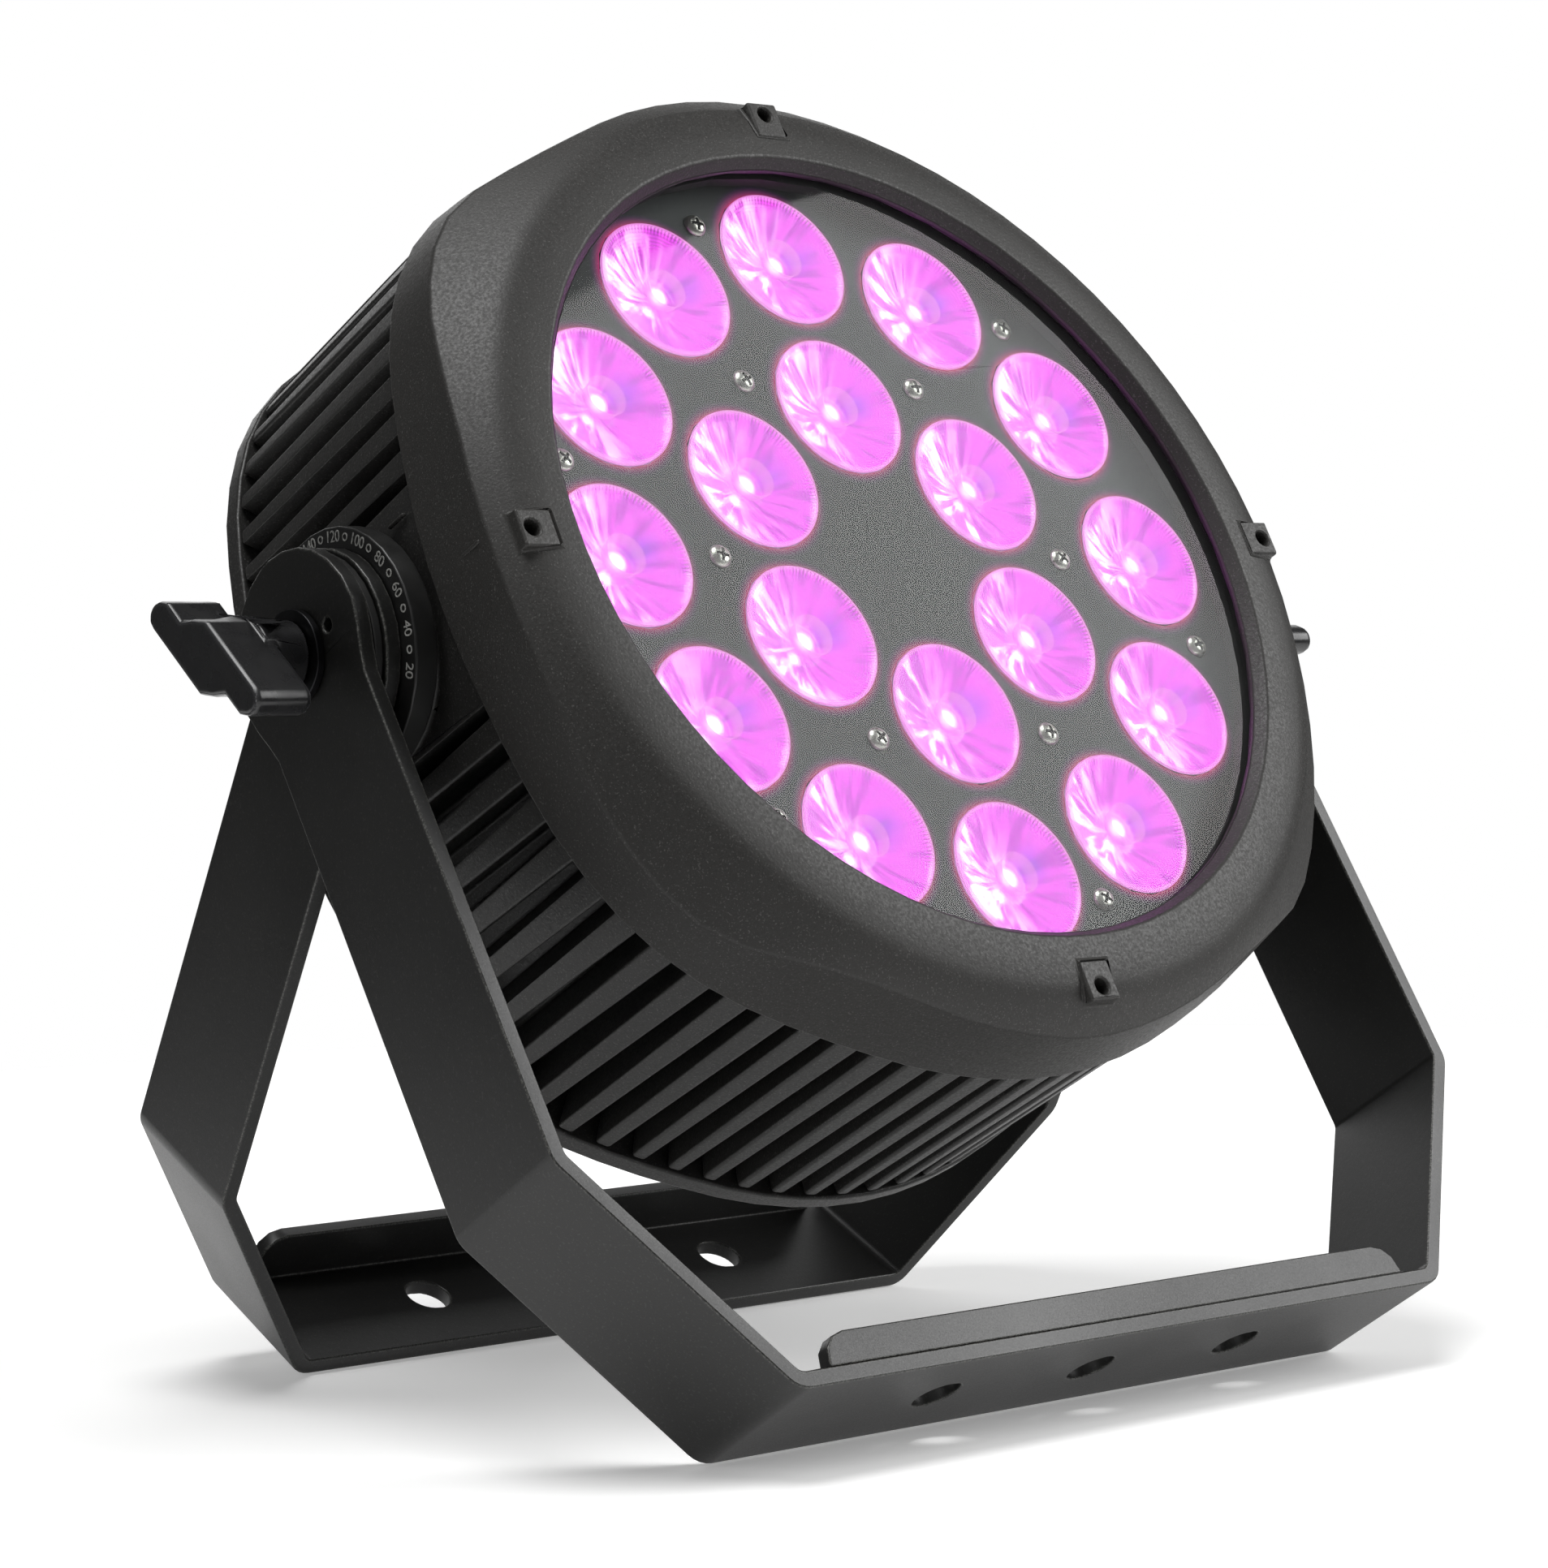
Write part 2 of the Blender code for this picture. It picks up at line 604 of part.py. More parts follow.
def build_knob(side, label):
    """Grip, hub and stud; both knobs are the same part, so the right one isn't a mirror of the left."""
    frame = empty(f"knob_{label}_frame", (0, 0, 0), 0, head_frame)
    turn = radians(KNOB_TURN[side])
    outline = []
    for u, v in knob_outline():
        y = u * cos(turn) + side * v * sin(turn)
        z = u * sin(turn) - side * v * cos(turn)
        outline.append((-side * z, y))
    bm = along_x(prism(outline, 0, KNOB_END - KNOB_WING_BACK), KNOB_WING_BACK, side)
    upright = Matrix.Rotation(radians(BEAM_ELEVATION - 90), 3, "X")
    bmesh.ops.rotate(bm, cent=(0, 0, 0), matrix=upright, verts=bm.verts)
    knob = add_object(f"knob_{label}", bm, frame, knob_black)
    bevel(knob, 0.8)
    hub = along_x(cylinder(8.4, KNOB_HUB_BACK, KNOB_WING_BACK + 3, 32), 0, side)
    join(knob, hub, f"knob_{label}_hub", frame)
    socket = along_x(cylinder(STUD_RADIUS + GAP, KNOB_HUB_BACK - 2, KNOB_WING_BACK + 5, 20), 0, side)
    cut(knob, socket, f"knob_{label}_socket", frame)
    stud = cylinder(STUD_RADIUS, CAVITY_RADIUS + 12, KNOB_WING_BACK + 4.5, 20)
    add_object(f"knob_stud_{label}", along_x(stud, 0, side), frame, zinc_steel)


KNOB_WASHER_END = FRONT_HALF_WIDTH + GAP + 2.0
KNOB_HUB_BACK = KNOB_WASHER_END + GAP


def build_pivots():
    clearance = STUD_RADIUS + STUD_CLEARANCE
    rear_inner = REAR_HALF_WIDTH - STRIP_THICKNESS
    front_inner = FRONT_HALF_WIDTH - STRIP_THICKNESS
    for side, label in ((-1, "left"), (1, "right")):
        washer(
            f"scale_disc_{label}", front_frame, clearance, DISC_RADIUS, BOSS_FACE + GAP, rear_inner - GAP,
            side, disc_black,
        )
        washer(
            f"friction_washer_{label}", front_frame, clearance, 24.0, REAR_HALF_WIDTH + GAP, front_inner - GAP,
            side, black_rubber,
        )
        washer(
            f"knob_washer_{label}", head_frame, clearance, 11.0, FRONT_HALF_WIDTH + GAP, KNOB_WASHER_END,
            side, zinc_steel,
        )
        build_knob(side, label)


# ---- assembly --------------------------------------------------------------------------------------------
clear_scene()
parts = new_collection("par_can_light")
cutters = new_collection("cutters")

black_coat = material("black_powder_coat", (0.035, 0.035, 0.034), 0.45)
charcoal_coat = material("charcoal_sand_coat", (0.055, 0.054, 0.053), 0.6)
knob_black = material("knob_black", (0.02, 0.02, 0.022), 0.4)
disc_black = material("disc_black", (0.03, 0.03, 0.03), 0.5)
black_rubber = material("black_rubber", (0.015, 0.015, 0.015), 0.7)
socket_black = material("socket_black", (0.02, 0.02, 0.02), 0.45)
slate_plate = material("slate_plate", (0.09, 0.095, 0.095), 0.6)
lens_clear = material("lens_clear", (0.9, 0.3, 0.9), 0.1)
clear_glass = material("clear_glass", (0.8, 0.85, 0.85), 0.05)
window_clear = material("window_clear", (0.1, 0.12, 0.14), 0.1)
zinc_steel = material("zinc_steel", (0.6, 0.6, 0.6), 0.35, 1.0)
white_board = material("white_board", (0.8, 0.8, 0.78), 0.5)
green_board = material("green_board", (0.02, 0.2, 0.08), 0.5)

PIVOT = (0.0, PIVOT_Y, PIVOT_HEIGHT)
head_frame = empty("head_frame", PIVOT, 90 - BEAM_ELEVATION)
front_frame = empty("front_frame", PIVOT, -FRONT_LEAN)
rear_frame = empty("rear_frame", PIVOT, REAR_LEAN)

build_brackets()
build_bezel()
build_housing()
build_cover()
build_rear_fittings()
build_light_engine()
build_pivots()
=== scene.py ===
"""Looks of the par can light: fine meshes, materials, floor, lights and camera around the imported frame.

The head's own frame is X across, Y up the lamp and Z along the beam, from the pivot. Names that end in _mm,
ring radii and the points of an outline are in millimetres; everything in Blender is in metres.
"""

import json
from math import atan2, cos, hypot, pi, radians, sin

import bmesh
import bpy
from mathutils import Matrix, Vector

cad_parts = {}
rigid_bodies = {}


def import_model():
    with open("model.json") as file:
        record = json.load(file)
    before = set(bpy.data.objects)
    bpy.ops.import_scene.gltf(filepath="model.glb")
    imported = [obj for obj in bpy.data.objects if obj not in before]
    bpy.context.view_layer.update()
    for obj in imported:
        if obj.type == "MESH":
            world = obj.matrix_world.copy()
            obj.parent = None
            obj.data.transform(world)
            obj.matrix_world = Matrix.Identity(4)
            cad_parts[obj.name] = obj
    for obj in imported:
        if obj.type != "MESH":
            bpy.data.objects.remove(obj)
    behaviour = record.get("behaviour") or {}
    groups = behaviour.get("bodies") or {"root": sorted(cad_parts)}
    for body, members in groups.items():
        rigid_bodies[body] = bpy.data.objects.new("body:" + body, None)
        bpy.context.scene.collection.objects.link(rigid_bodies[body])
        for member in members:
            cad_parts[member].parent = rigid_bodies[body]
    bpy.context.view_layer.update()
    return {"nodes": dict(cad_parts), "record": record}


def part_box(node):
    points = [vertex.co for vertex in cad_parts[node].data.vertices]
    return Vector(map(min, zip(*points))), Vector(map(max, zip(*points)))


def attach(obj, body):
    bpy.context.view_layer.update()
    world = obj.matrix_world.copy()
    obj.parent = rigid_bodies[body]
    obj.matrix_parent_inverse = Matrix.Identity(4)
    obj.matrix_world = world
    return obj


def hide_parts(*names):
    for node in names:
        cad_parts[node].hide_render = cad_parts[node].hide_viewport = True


MM = 0.001

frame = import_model()
joints = {joint["name"]: joint for joint in frame["record"]["behaviour"]["joints"]}

# ---- the head's frame, from the joints -------------------------------------------------------------------
ACROSS = Vector((1, 0, 0))
PIVOT = Vector(joints["head_tilt"]["pos_m"])
BEAM = Vector(joints["button_1_press"]["axis"]).normalized()  # the menu buttons press along the beam
LAMP_UP = BEAM.cross(ACROSS)
HEAD = Matrix.Translation(PIVOT) @ Matrix((ACROSS, LAMP_UP, BEAM)).transposed().to_4x4()


def head_box(node):
    """Lowest and highest corner of a CAD node in the head's frame, in mm."""
    points = [HEAD.inverted() @ v.co / MM for v in frame["nodes"][node].data.vertices]
    low = Vector([min(p[k] for p in points) for k in range(3)])
    high = Vector([max(p[k] for p in points) for k in range(3)])
    return low, high


def body_of_node(node):
    for body, nodes in frame["record"]["behaviour"]["bodies"].items():
        if node in nodes:
            return body
    return None


# ---- material helpers ------------------------------------------------------------------------------------
def linear(code):
    """Linear colour with alpha from an sRGB hex code."""
    channels = [int(code[k : k + 2], 16) / 255 for k in (1, 3, 5)]
    return [c / 12.92 if c <= 0.04045 else ((c + 0.055) / 1.055) ** 2.4 for c in channels] + [1.0]


def new_material(name, code, roughness, metallic=0.0, specular=0.5):
    mat = bpy.data.materials.new(name)
    mat.use_nodes = True
    shader = mat.node_tree.nodes["Principled BSDF"]
    shader.inputs["Base Color"].default_value = linear(code)
    shader.inputs["Roughness"].default_value = roughness
    shader.inputs["Metallic"].default_value = metallic
    shader.inputs["Specular IOR Level"].default_value = specular
    return mat


def add(mat, kind, inputs=None, **settings):
    """Adds one shader node; every input is a constant or the output of another node."""
    made = mat.node_tree.nodes.new(f"ShaderNode{kind}")
    for key, value in settings.items():
        setattr(made, key, value)
    for key, value in (inputs or {}).items():
        if isinstance(value, bpy.types.NodeSocket):
            mat.node_tree.links.new(value, made.inputs[key])
        else:
            made.inputs[key].default_value = value
    return made


def feed(mat, key, output):
    mat.node_tree.links.new(output, mat.node_tree.nodes["Principled BSDF"].inputs[key])


def calc(mat, operation, a, b=0.0, clamp=False):
    return add(mat, "Math", {0: a, 1: b}, operation=operation, use_clamp=clamp).outputs[0]


def place_of(mat):
    return add(mat, "TexCoord").outputs["Object"]


def stretched(mat, x, y, z):
    """The piece's own coordinates, with each axis multiplied."""
    return add(mat, "Mapping", {"Vector": place_of(mat), "Scale": (x, y, z)}).outputs["Vector"]


def noise(mat, size_mm, detail=2.0, vector=None):
    """Noise whose blotches are size_mm across."""
    inputs = {"Vector": vector or place_of(mat), "Scale": 1000 / size_mm, "Detail": detail}
    return add(mat, "TexNoise", inputs).outputs["Fac"]


def remap(mat, value, low, high, to_low, to_high):
    inputs = {"Value": value, "From Min": low, "From Max": high, "To Min": to_low, "To Max": to_high}
    return add(mat, "MapRange", inputs).outputs["Result"]


def blend(mat, factor, first, second):
    """Colour between two; each is a hex code or another node's output."""
    ends = [linear(end) if isinstance(end, str) else end for end in (first, second)]
    made = add(mat, "Mix", {0: factor}, data_type="RGBA")
    for socket, end in zip((made.inputs[6], made.inputs[7]), ends):
        if isinstance(end, bpy.types.NodeSocket):
            mat.node_tree.links.new(end, socket)
        else:
            socket.default_value = end
    return made.outputs[2]


def bump(mat, height, depth_mm, strength=1.0, below=None):
    inputs = {"Height": height, "Distance": depth_mm * MM, "Strength": strength}
    if below:
        inputs["Normal"] = below
    return add(mat, "Bump", inputs).outputs["Normal"]


def edge_mask(mat, radius_mm, strength=6.0):
    """1 along sharp edges and 0 on flats: how far a rounded normal leaves the true one."""
    rounded = add(mat, "Bevel", {"Radius": radius_mm * MM}, samples=4).outputs["Normal"]
    true = add(mat, "NewGeometry").outputs["Normal"]
    agree = add(mat, "VectorMath", {0: rounded, 1: true}, operation="DOT_PRODUCT").outputs["Value"]
    return calc(mat, "MULTIPLY", calc(mat, "SUBTRACT", 1.0, agree, clamp=True), strength, clamp=True)


# ---- materials -------------------------------------------------------------------------------------------
def satin_powder_coat():
    """Black powder coat on steel strip: orange peel, fine grain, and a painted highlight along the sheared
    edges.
    """
    mat = new_material("satin_powder_coat_on_steel", "#1b1b1a", 0.42)
    peel = noise(mat, 1.6, 1.0)
    grain = noise(mat, 0.35, 2.0)
    edge = edge_mask(mat, 0.8, 9.0)
    fleck = remap(mat, noise(mat, 0.5, 3.0), 0.45, 0.58, 0.15, 1.0)
    # painted highlight: sheared edges, flecked, are mixed towards a pale grey in place of their satin
    # reflection
    edge_highlight = calc(mat, "MULTIPLY", edge, fleck, clamp=True)
    cloud = noise(mat, 60, 3.0)
    # painted glints: sparse bright specks mixed into the coat's colour
    glint_speck = remap(mat, noise(mat, 0.6, 1.0), 0.62, 0.72, 0.0, 0.35)
    coat = blend(mat, glint_speck, blend(mat, cloud, "#0e0e0d", "#171716"), "#3e3e3c")
    feed(mat, "Base Color", blend(mat, calc(mat, "MULTIPLY", edge_highlight, 0.8), coat, "#84847f"))
    feed(mat, "Roughness", remap(mat, calc(mat, "ADD", grain, cloud), 0.7, 1.3, 0.33, 0.46))
    feed(mat, "Normal", bump(mat, grain, 0.03, 0.5, bump(mat, peel, 0.05, 0.35)))
    return mat


def sand_powder_coat(name, dark, light, dull):
    """Sand-texture powder coat on a casting: grain you can feel, dull, with small bright specks as painted
    glints and a painted highlight along the edges.
    """
    mat = new_material(name, dark, dull, specular=0.42)
    grain = noise(mat, 0.75, 2.0)
    grit = add(mat, "TexVoronoi", {"Vector": place_of(mat), "Scale": 1500.0}).outputs["Distance"]
    cloud = noise(mat, 45, 3.0)
    glint_speck = remap(mat, noise(mat, 0.45, 1.0), 0.62, 0.72, 0.0, 1.0)
    edge = edge_mask(mat, 1.2, 3.0)
    coat = blend(mat, cloud, dark, light)
    # painted glints: small bright specks mixed into the colour
    coat = blend(mat, calc(mat, "MULTIPLY", glint_speck, 0.4), coat, "#6d6c6a")
    # painted highlight: edges mixed towards a lighter grey
    feed(mat, "Base Color", blend(mat, calc(mat, "MULTIPLY", edge, 0.3), coat, "#5a5957"))
    feed(mat, "Roughness", remap(mat, grain, 0.35, 0.65, dull - 0.07, dull + 0.08))
    feed(mat, "Normal", bump(mat, grit, 0.06, 0.25, bump(mat, grain, 0.1, 0.6)))
    return mat


def knob_plastic():
    """Smooth glass-filled nylon: near-black, soft moulding ripple, edges painted brighter as a highlight."""
    mat = new_material("moulded_glass_filled_nylon", "#1e1e1f", 0.3)
    ripple = noise(mat, 6.0, 2.0)
    grain = noise(mat, 0.3, 2.0)
    edge = edge_mask(mat, 1.2)
    # painted highlight: edges mixed towards a lighter grey
    feed(mat, "Base Color", blend(mat, calc(mat, "MULTIPLY", edge, 0.5), "#1e1e1f", "#5a5a5c"))
    feed(mat, "Roughness", remap(mat, ripple, 0.35, 0.65, 0.22, 0.34))
    feed(mat, "Normal", bump(mat, grain, 0.015, 0.4, bump(mat, ripple, 0.08, 0.3)))
    return mat


def disc_plastic():
    """Turned black acetal: faint rings from the lathe catch the light round the scale."""
    mat = new_material("turned_black_acetal", "#151515", 0.38)
    offset = add(mat, "VectorMath", {0: place_of(mat), 1: PIVOT}, operation="SUBTRACT").outputs["Vector"]
    flat = add(mat, "VectorMath", {0: offset, 1: (0, 1, 1)}, operation="MULTIPLY").outputs["Vector"]
    reach = add(mat, "VectorMath", {0: flat}, operation="LENGTH").outputs["Value"]
    rings = calc(mat, "SINE", calc(mat, "MULTIPLY", reach, 2 * pi / (0.5 * MM)))
    smear = noise(mat, 8, 3.0)
    feed(mat, "Base Color", blend(mat, smear, "#101010", "#1c1c1b"))
    feed(mat, "Roughness", remap(mat, smear, 0.3, 0.7, 0.32, 0.46))
    feed(mat, "Normal", bump(mat, rings, 0.01, 0.3))
    return mat


def scale_print():
    """Pale pad-printed ink, slightly worn where hands and tools pass."""
    mat = new_material("pad_printed_ink", "#9a9a96", 0.6)
    worn = noise(mat, 0.8, 3.0)
    feed(mat, "Base Color", blend(mat, remap(mat, worn, 0.45, 0.7, 0.0, 0.7), "#a5a5a1", "#4a4a48"))
    feed(mat, "Roughness", remap(mat, worn, 0.3, 0.7, 0.5, 0.75))
    return mat


def moulded_rubber():
    """Dull rubber: fine pitting and a dusty bloom."""
    mat = new_material("moulded_rubber", "#111111", 0.6)
    bloom = noise(mat, 12, 4.0)
    feed(mat, "Base Color", blend(mat, bloom, "#0d0d0d", "#191918"))
    feed(mat, "Roughness", remap(mat, bloom, 0.3, 0.7, 0.45, 0.65))
    feed(mat, "Normal", bump(mat, noise(mat, 0.4, 2.0), 0.03, 0.5))
    return mat


def socket_nylon():
    """Black moulded nylon: even fine texture with a soft sheen on the ridges."""
    mat = new_material("textured_moulded_nylon", "#1c1c1d", 0.5)
    grain = noise(mat, 0.5, 2.0)
    edge = edge_mask(mat, 0.5)
    feed(mat, "Base Color", blend(mat, calc(mat, "MULTIPLY", edge, 0.4), "#1a1a1b", "#404042"))
    feed(mat, "Roughness", remap(mat, grain, 0.3, 0.7, 0.42, 0.58))
    feed(mat, "Normal", bump(mat, grain, 0.03, 0.5))
    return mat


def turned_steel(name, dark, light, roughness):
    """Turned and plated steel: streaks of tool marks with slightly uneven plating."""
    mat = new_material(name, light, roughness, 1.0)
    streak = noise(mat, 0.6, 3.0, stretched(mat, 6, 1, 1))
    cloud = noise(mat, 4, 3.0)
    feed(mat, "Base Color", blend(mat, cloud, dark, light))
    feed(mat, "Roughness", remap(mat, streak, 0.3, 0.7, roughness - 0.08, roughness + 0.12))
    feed(mat, "Normal", bump(mat, streak, 0.01, 0.4))
    return mat


def circuit_board(name, low, high):
    """Solder mask over copper: faint raised track pattern under a glossy coat."""
    mat = new_material(name, low, 0.4)
    tracks = add(mat, "TexBrick", {"Vector": place_of(mat), "Scale": 90.0}).outputs["Fac"]
    feed(mat, "Base Color", blend(mat, tracks, low, high))
    feed(mat, "Roughness", remap(mat, noise(mat, 2.0, 2.0), 0.3, 0.7, 0.3, 0.5))
    feed(mat, "Normal", bump(mat, tracks, 0.05, 0.6))
    return mat


def nearest_on_ring(mat, x, y, radius_mm, count):
    """Distance, in mm, from a point of the plate to the nearest of the places spaced round a ring."""
    step = 2 * pi / count
    angle = calc(mat, "ARCTAN2", x, y)
    whole = calc(mat, "ROUND", calc(mat, "DIVIDE", angle, step))
    local = calc(mat, "SUBTRACT", angle, calc(mat, "MULTIPLY", whole, step))
    x_squared = calc(mat, "POWER", x, 2.0)
    reach = calc(mat, "SQRT", calc(mat, "ADD", x_squared, calc(mat, "POWER", y, 2.0)))
    along = calc(mat, "SUBTRACT", calc(mat, "MULTIPLY", reach, calc(mat, "COSINE", local)), radius_mm)
    aside = calc(mat, "MULTIPLY", reach, calc(mat, "SINE", local))
    squares = calc(mat, "ADD", calc(mat, "POWER", along, 2.0), calc(mat, "POWER", aside, 2.0))
    return calc(mat, "SQRT", squares)


def plate_paint(lens_radius, rings):
    """Matte slate paint with a fine tooth; close to each lens the paint glows magenta, a painted glow
    standing in for the lens's light on the plate.
    """
    mat = new_material("matte_slate_paint", "#27292a", 0.6, specular=0.3)
    tooth = noise(mat, 0.6, 2.0)
    cloud = noise(mat, 30, 2.0)
    feed(mat, "Base Color", blend(mat, cloud, "#232527", "#2d2f30"))
    feed(mat, "Roughness", remap(mat, tooth, 0.3, 0.7, 0.52, 0.68))
    feed(mat, "Normal", bump(mat, tooth, 0.04, 0.5))
    place = add(mat, "SeparateXYZ", {0: stretched(mat, 1 / MM, 1 / MM, 1 / MM)})
    x, y = place.outputs["X"], place.outputs["Y"]
    near = None
    for radius_mm, count in rings:
        distance = nearest_on_ring(mat, x, y, radius_mm, count)
        near = distance if near is None else calc(mat, "MINIMUM", near, distance)
    # painted light: the plate itself emits a magenta glow that fades within 3.5 mm of each lens
    close = remap(mat, near, lens_radius, lens_radius + 3.5, 1.0, 0.0)
    glow = calc(mat, "POWER", calc(mat, "MAXIMUM", close, 0.0), 2.0)
    shade = blend(mat, close, "#7a35c8", "#ff3f8a")
    feed(mat, "Emission Color", shade)
    feed(mat, "Emission Strength", calc(mat, "MULTIPLY", glow, 0.45))
    return mat


def clear_sheet(name, tint, strength=1.0):
    """Clear glass or acrylic: see-through, with a reflection that grows towards grazing angles."""
    mat = new_material(name, tint, 0.03)
    tree = mat.node_tree
    shader = tree.nodes["Principled BSDF"]
    shader.inputs["IOR"].default_value = 1.5
    smear = noise(mat, 25, 3.0)
    feed(mat, "Roughness", remap(mat, smear, 0.4, 0.7, 0.02, 0.06))
    clear = add(mat, "BsdfTransparent", {"Color": linear(tint)})
    polish = remap(mat, smear, 0.4, 0.7, 0.02, 0.05)
    gloss = add(mat, "BsdfGlossy", {"Color": (1, 1, 1, 1), "Roughness": polish})
    outside = calc(mat, "SUBTRACT", 1.0, add(mat, "NewGeometry").outputs["Backfacing"])
    rim = calc(mat, "MULTIPLY", add(mat, "Fresnel", {"IOR": 1.5}).outputs["Fac"], strength, clamp=True)
    rim = calc(mat, "MULTIPLY", rim, outside)
    sheet = add(mat, "MixShader", {0: rim, 1: clear.outputs[0], 2: gloss.outputs[0]})
    body = add(mat, "MixShader", {0: 0.01, 1: sheet.outputs[0], 2: shader.outputs[0]})
    tree.links.new(body.outputs[0], tree.nodes["Material Output"].inputs["Surface"])
    return mat


def lit_acrylic(radius_mm, well_mm):
    """Clear lens front over a lit bowl: the corners of the moulding pipe the light and glow pink."""
    mat = clear_sheet("clear_moulded_acrylic", "#fff2ff", 0.07)
    tree = mat.node_tree
    surface = tree.nodes["Material Output"].inputs["Surface"]
    flat = stretched(mat, 1 / MM, 1 / MM, 0)
    reach = add(mat, "VectorMath", {0: flat}, operation="LENGTH").outputs["Value"]
    from_well = calc(mat, "ABSOLUTE", calc(mat, "SUBTRACT", reach, well_mm))
    well = remap(mat, from_well, 0.5, 0.15, 0.0, 0.5)
    rim = remap(mat, reach, radius_mm - 1.2, radius_mm - 0.6, 0.0, 0.55)
    glow = calc(mat, "MAXIMUM", well, rim)
    light = add(mat, "Emission", {"Color": linear("#ff9cf4"), "Strength": 1.0})
    body = surface.links[0].from_socket
    mixed = add(mat, "MixShader", {0: glow, 1: body, 2: light.outputs[0]})
    tree.links.new(mixed.outputs[0], surface)
    return mat


def lit_optic(radius_mm):
    """Lit reflector of a lens: magenta bowl, a fan of white-hot streaks on one side, a bright emitter at its
    foot, a violet patch across from it, fine arcs and a toothed rim."""
    mat = new_material("lit_moulded_acrylic_optic", "#2a0c2a", 0.2)
    unit = 1 / (radius_mm * MM)
    scaled = stretched(mat, unit, unit, 0)
    place = add(mat, "SeparateXYZ", {0: scaled})
    x, y = place.outputs["X"], place.outputs["Y"]
    reach = add(mat, "VectorMath", {0: scaled}, operation="LENGTH").outputs["Value"]
    ray = add(mat, "VectorMath", {0: scaled}, operation="NORMALIZE").outputs["Vector"]
    own = calc(mat, "MULTIPLY", add(mat, "ObjectInfo").outputs["Random"], 20.0)
    turn = calc(mat, "ARCTAN2", y, x)

    drift = add(mat, "CombineXYZ", {"Z": calc(mat, "MULTIPLY", reach, 0.4)}).outputs[0]
    streak_at = add(mat, "VectorMath", {0: ray, 1: drift}, operation="ADD").outputs["Vector"]
    streak = add(
        mat, "TexNoise", {"Vector": streak_at, "W": own, "Scale": 4.6, "Detail": 3.0}, noise_dimensions="4D"
    ).outputs["Fac"]
    blot = add(
        mat, "TexNoise", {"Vector": scaled, "W": own, "Scale": 1.8, "Detail": 1.0}, noise_dimensions="4D"
    ).outputs["Fac"]
    side = calc(mat, "ADD", calc(mat, "MULTIPLY", x, -0.8), calc(mat, "MULTIPLY", y, -0.05))

    blade = remap(mat, streak, 0.47, 0.58, 0.0, 1.0)
    fan = remap(mat, calc(mat, "ADD", side, calc(mat, "MULTIPLY", blot, 0.8)), 0.25, 0.8, 0.0, 1.0)
    hot = calc(mat, "MULTIPLY", calc(mat, "MULTIPLY", blade, fan), remap(mat, reach, 0.15, 0.4, 0.3, 1.0))
    soft = remap(mat, calc(mat, "ADD", side, calc(mat, "MULTIPLY", blot, 0.6)), 0.3, 1.1, 0.0, 0.6)
    dark = remap(mat, streak, 0.5, 0.38, 0.0, 0.7)

    arcs = calc(mat, "SINE", calc(mat, "MULTIPLY", reach, 2 * pi * 22))
    arc_zone = remap(mat, reach, 0.5, 0.8, 0.0, 0.12)
    teeth = calc(mat, "SINE", calc(mat, "MULTIPLY", turn, 110.0))
    tooth_zone = remap(mat, reach, 0.88, 0.94, 0.0, 0.3)
    fine = calc(mat, "ADD", calc(mat, "MULTIPLY", arcs, arc_zone), calc(mat, "MULTIPLY", teeth, tooth_zone))

    body = blend(mat, remap(mat, side, -0.8, 0.4, 0.0, 1.0), "#f45ef3", "#ff5cf9")
    body = blend(mat, dark, body, "#d94be6")
    across = add(mat, "VectorMath", {0: scaled, 1: (0.46, 0.16, 0)}, operation="DISTANCE").outputs["Value"]
    cloudy = remap(mat, blot, 0.35, 0.6, 0.2, 0.8)
    patch = calc(mat, "MULTIPLY", remap(mat, across, 0.34, 0.08, 0.0, 0.8), cloudy)
    body = blend(mat, patch, body, "#a052ee")
    body = blend(mat, soft, body, "#ffa8ff")
    body = blend(mat, calc(mat, "MULTIPLY", hot, 0.85), body, "#fff0ff")
    well = calc(mat, "ABSOLUTE", calc(mat, "SUBTRACT", reach, 0.3))
    body = blend(mat, remap(mat, well, 0.02, 0.0, 0.0, 0.35), body, "#ffd0ff")
    body = blend(mat, remap(mat, reach, 0.93, 0.97, 0.0, 0.5), body, "#ff9ef2")
    gap = add(mat, "VectorMath", {0: scaled, 1: (0.08, 0.05, 0)}, operation="DISTANCE").outputs["Value"]
    low_gap = add(mat, "VectorMath", {0: scaled, 1: (-0.2, -0.2, 0)}, operation="DISTANCE").outputs["Value"]
    spot = remap(mat, gap, 0.17, 0.07, 0.0, 1.0)
    spot = calc(mat, "MAXIMUM", spot, remap(mat, low_gap, 0.13, 0.04, 0.0, 0.7))
    body = blend(mat, spot, body, "#fff6ff")
    power = calc(mat, "ADD", 1.0, calc(mat, "MULTIPLY", hot, 0.5))
    power = calc(mat, "ADD", power, fine)
    power = calc(mat, "ADD", power, calc(mat, "MULTIPLY", spot, 1.2))
    power = calc(mat, "SUBTRACT", power, calc(mat, "MULTIPLY", dark, 0.2))
    feed(mat, "Emission Color", body)
    feed(mat, "Emission Strength", power)
    feed(mat, "Base Color", blend(mat, blot, "#2a0c2a", "#3c123c"))
    shader = mat.node_tree.nodes["Principled BSDF"]
    shader.inputs["Emission Color"].default_value = linear("#f26cf4")
    shader.inputs["Emission Strength"].default_value = 1.0
    return mat


